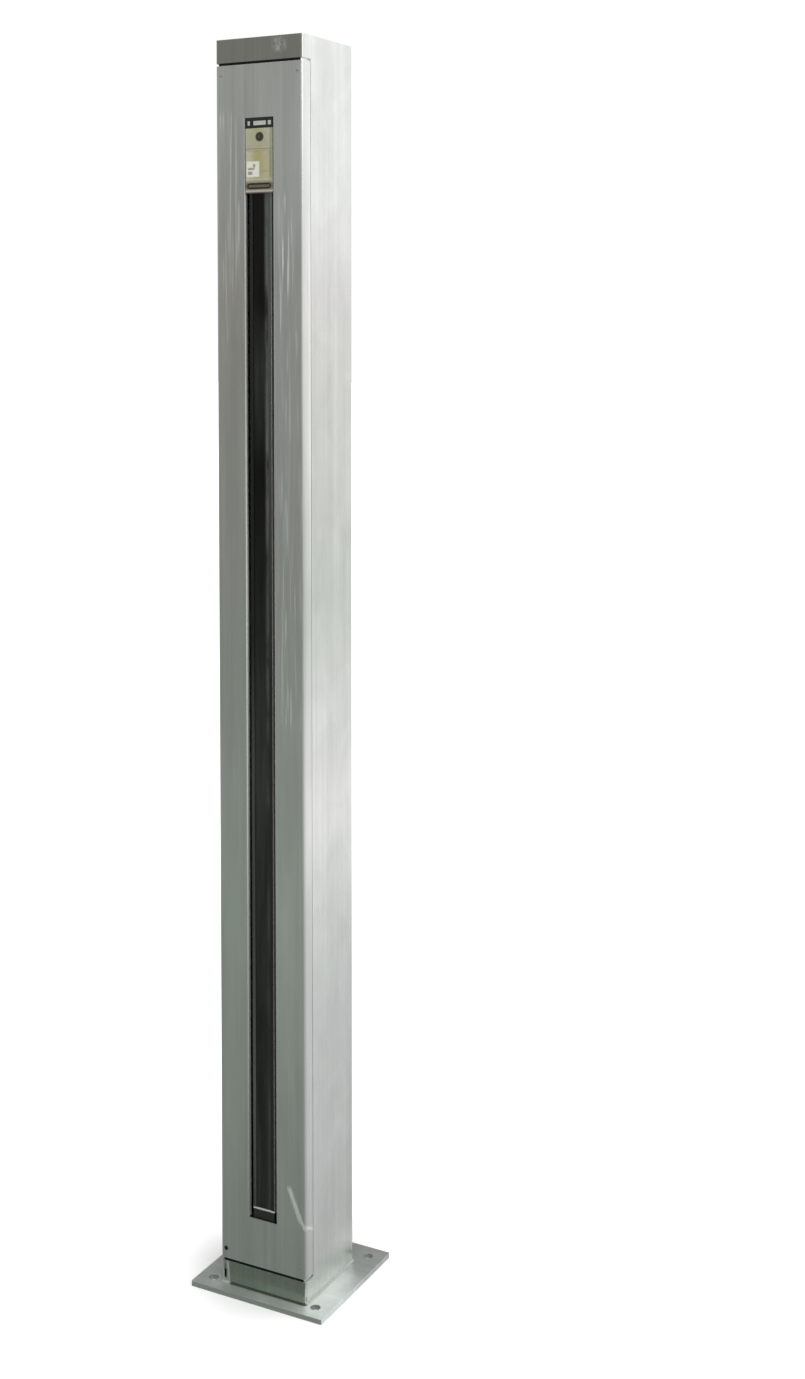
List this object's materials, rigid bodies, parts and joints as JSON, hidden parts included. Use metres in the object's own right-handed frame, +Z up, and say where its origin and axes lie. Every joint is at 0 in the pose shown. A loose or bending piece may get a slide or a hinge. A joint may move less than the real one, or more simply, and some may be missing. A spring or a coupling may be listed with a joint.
{
  "type": "safety light curtain column",
  "caption": "Floor-standing stainless steel column with a light curtain behind a slot in its front cover and a drilled base plate.",
  "frame": {"origin": "middle of the base plate's underside", "axes": "+Z up the column, -Y out of the slot, +Y out of the cable gland, +X to the right for someone who faces the slot"},
  "size_m": [0.184, 0.17, 1.506],
  "materials": {
    "column_steel": "vertical grain, satin",
    "cover_steel": "vertical grain, satin",
    "plate_steel": "satin",
    "bracket_steel": "zinc plated",
    "fastener_steel": "zinc plated",
    "cover_screw_steel": "dark",
    "foam_rubber": "matt foam",
    "housing_aluminium": "dark anodised",
    "window_plastic": "infrared-pass, polished",
    "seal_rubber": "matt",
    "gasket_rubber": "matt",
    "lens_plastic": "clear moulded",
    "board_laminate": "solder resist",
    "diode_plastic": "dark clear",
    "cap_plastic": "moulded",
    "connector_metal": "nickel plated",
    "adapter_coat": "satin",
    "head_plastic": "moulded",
    "label_film": "printed film",
    "badge_dark": "moulded",
    "badge_light": "moulded",
    "segment_plastic": "diffusing",
    "status_plastic": "smoked",
    "gland_plastic": "moulded polyamide"
  },
  "bodies": {
    "root": {"column_tube": "column_steel", "top_plate": "column_steel", "base_weld": "column_steel", "cover_rail_left": "column_steel", "cover_rail_right": "column_steel", "lower_strap": "column_steel", "upper_strap": "column_steel", "mounting_rail": "column_steel", "front_cover": "cover_steel", "base_plate": "plate_steel", "lower_bracket": "bracket_steel", "middle_bracket": "bracket_steel", "upper_bracket": "bracket_steel", "bracket_bolts": "fastener_steel", "weld_nuts": "fastener_steel", "clamp_screws": "fastener_steel", "slot_nuts": "fastener_steel", "end_cap_screws": "fastener_steel", "adapter_screws": "fastener_steel", "tie_screws": "fastener_steel", "board_screws": "fastener_steel", "rivet_nuts": "fastener_steel", "cover_screws": "cover_screw_steel", "cover_gasket": "foam_rubber", "curtain_housing": "housing_aluminium", "front_window": "window_plastic", "window_seals": "seal_rubber", "gland_seal": "seal_rubber", "gland_washer": "seal_rubber", "lower_gasket": "gasket_rubber", "lens_strip": "lens_plastic", "beam_board": "board_laminate", "control_board": "board_laminate", "beam_diodes": "diode_plastic", "status_led": "diode_plastic", "lower_end_cap": "cap_plastic", "upper_end_cap": "cap_plastic", "connector_insert": "cap_plastic", "connector_shell": "connector_metal", "adapter_plate": "adapter_coat", "head_sleeve": "head_plastic", "label_plate": "label_film", "badge_rim": "badge_dark", "badge_panel": "badge_light", "display_segments": "segment_plastic", "status_lens": "status_plastic", "gland_body": "gland_plastic", "gland_locknut": "gland_plastic", "gland_cap": "gland_plastic"}
  },
  "joints": []
}
